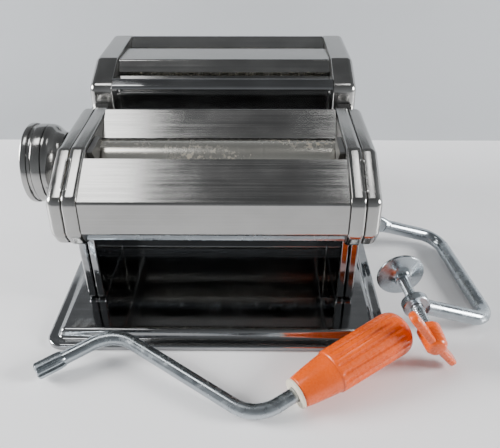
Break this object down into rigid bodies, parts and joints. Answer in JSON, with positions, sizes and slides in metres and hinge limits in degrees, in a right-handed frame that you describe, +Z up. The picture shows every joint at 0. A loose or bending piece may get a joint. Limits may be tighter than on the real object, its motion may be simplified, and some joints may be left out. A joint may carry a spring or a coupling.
{
  "type": "pasta roller machine",
  "caption": "Hand-cranked pasta roller with a thickness knob and a lift-off double cutter unit; its loose crank and table clamp lie beside it.",
  "frame": {"origin": "middle of the base's front rim, on the surface that the machine stands on", "axes": "+X towards the cheek with the crank sockets, +Y from the front cover to the cutter unit, +Z up"},
  "size_m": [0.2941, 0.2771, 0.1328],
  "materials": {
    "polished_steel": "bright drawn cover steel",
    "mirror_steel": "mirror bright pressed sheet",
    "brushed_steel": "fine straight grain",
    "dark_steel": "plain inner steel",
    "roller_steel": "fine ground satin",
    "bronze": "plain turned",
    "zinc_plate": "zinc plated, faint draw lines",
    "orange_plastic": "glossy moulded",
    "cream_plastic": "moulded"
  },
  "bodies": {
    "machine": {"base_tray": "mirror_steel", "leg_left": "mirror_steel", "leg_right": "mirror_steel", "back_wall": "mirror_steel", "clamp_socket": "dark_steel", "side_plate_left": "dark_steel", "side_plate_right": "dark_steel", "cheek_rim_left": "polished_steel", "cheek_rim_right": "polished_steel", "cheek_cap_left": "polished_steel", "cheek_cap_right": "polished_steel", "drive_bush_left": "bronze", "drive_bush_right": "bronze", "end_guide_left": "dark_steel", "end_guide_right": "dark_steel", "cutter_rail_left": "polished_steel", "cutter_rail_right": "polished_steel", "tie_rod_front": "zinc_plate", "tie_rod_rear": "zinc_plate", "front_cover": "brushed_steel", "hopper_plate": "brushed_steel", "rear_cover": "brushed_steel", "scraper_front": "dark_steel", "scraper_rear": "dark_steel", "knob_bush": "bronze"},
    "drive_roller": {"drive_roller": "roller_steel", "drive_gear": "dark_steel"},
    "gap_carrier": {"bearing_block_left": "bronze", "bearing_block_right": "bronze"},
    "adjust_roller": {"adjust_roller": "roller_steel", "adjust_gear": "dark_steel"},
    "knob_spindle": {"knob_spindle": "zinc_plate"},
    "thickness_knob": {"knob_body": "polished_steel", "knob_dial": "polished_steel"},
    "cutter_unit": {"cutter_plate_left": "dark_steel", "cutter_plate_right": "dark_steel", "cutter_cheek_left": "polished_steel", "cutter_cheek_right": "polished_steel", "cutter_tongue_left": "polished_steel", "cutter_tongue_right": "polished_steel", "cutter_front_plate": "mirror_steel", "cutter_roof": "brushed_steel", "cutter_rear_plate": "brushed_steel", "comb_wide": "dark_steel", "comb_narrow": "dark_steel"},
    "wide_front": {"wide_cutter_front": "roller_steel", "wide_gear_front": "dark_steel"},
    "wide_rear": {"wide_cutter_rear": "roller_steel", "wide_gear_rear": "dark_steel"},
    "narrow_front": {"narrow_cutter_front": "roller_steel", "narrow_gear_front": "dark_steel"},
    "narrow_rear": {"narrow_cutter_rear": "roller_steel", "narrow_gear_rear": "dark_steel"},
    "crank": {"crank_rod": "zinc_plate", "grip_washer": "cream_plastic"},
    "grip": {"grip": "orange_plastic"},
    "clamp": {"clamp_bar": "zinc_plate"},
    "clamp_pad": {"clamp_pad": "zinc_plate"},
    "clamp_screw": {"clamp_screw": "zinc_plate", "clamp_wing": "orange_plastic"}
  },
  "joints": [
    {"name": "drive_spin", "type": "hinge", "parent": "machine", "child": "drive_roller", "pos_m": [0, 0.0393, 0.0924], "axis": [1, 0, 0], "continuous": true},
    {"name": "knob_turn", "type": "hinge", "parent": "machine", "child": "knob_spindle", "pos_m": [0, 0.06904, 0.0924], "axis": [1, 0, 0], "range_deg": [0, 162]},
    {"name": "knob_pull", "type": "slide", "parent": "knob_spindle", "child": "thickness_knob", "axis": [-1, 0, 0], "range_m": [0, 0.005], "stiffness_N_per_m": 600},
    {"name": "gap_slide", "type": "slide", "parent": "machine", "child": "gap_carrier", "axis": [0, -1, 0], "range_m": [0, 0.00305]},
    {"name": "idler_spin", "type": "hinge", "parent": "gap_carrier", "child": "adjust_roller", "pos_m": [0, 0.0706, 0.0924], "axis": [1, 0, 0], "continuous": true},
    {"name": "cutter_lift", "type": "slide", "parent": "machine", "child": "cutter_unit", "axis": [0, 0, 1], "range_m": [0, 0.07]},
    {"name": "wide_front_spin", "type": "hinge", "parent": "cutter_unit", "child": "wide_front", "pos_m": [0, 0.13875, 0.109], "axis": [1, 0, 0], "continuous": true},
    {"name": "wide_rear_spin", "type": "hinge", "parent": "cutter_unit", "child": "wide_rear", "pos_m": [0, 0.15925, 0.109], "axis": [1, 0, 0], "continuous": true},
    {"name": "narrow_front_spin", "type": "hinge", "parent": "cutter_unit", "child": "narrow_front", "pos_m": [0, 0.1831, 0.112], "axis": [1, 0, 0], "continuous": true},
    {"name": "narrow_rear_spin", "type": "hinge", "parent": "cutter_unit", "child": "narrow_rear", "pos_m": [0, 0.2049, 0.112], "axis": [1, 0, 0], "continuous": true},
    {"name": "crank_lift", "type": "slide", "parent": "machine", "child": "crank", "axis": [-0.5, -0.5, 0.7071], "range_m": [0, 0.1]},
    {"name": "grip_spin", "type": "hinge", "parent": "crank", "child": "grip", "pos_m": [0.0236, -0.0569, 0.0057], "axis": [0.8415, 0.5218, 0.1402], "continuous": true},
    {"name": "clamp_lift", "type": "slide", "parent": "machine", "child": "clamp", "axis": [0, 0, 1], "range_m": [0, 0.1]},
    {"name": "pad_slide", "type": "slide", "parent": "clamp", "child": "clamp_pad", "axis": [-0.1163, 0.9931, 0.0139], "range_m": [-0.0000972, 0.0003111]},
    {"name": "screw_turn", "type": "hinge", "parent": "clamp_pad", "child": "clamp_screw", "pos_m": [0.12177, 0.01395, 0.02391], "axis": [-0.1163, 0.9931, 0.0139], "range_deg": [-20, 64]}
  ],
  "couplings": [
    {"joint": "idler_spin", "follows": "drive_spin", "ratio": -1},
    {"joint": "knob_turn", "follows": "gap_slide", "rad_per_m": 927.03},
    {"joint": "wide_rear_spin", "follows": "wide_front_spin", "ratio": -1},
    {"joint": "narrow_rear_spin", "follows": "narrow_front_spin", "ratio": -1},
    {"joint": "screw_turn", "follows": "pad_slide", "rad_per_m": 3590.7}
  ]
}
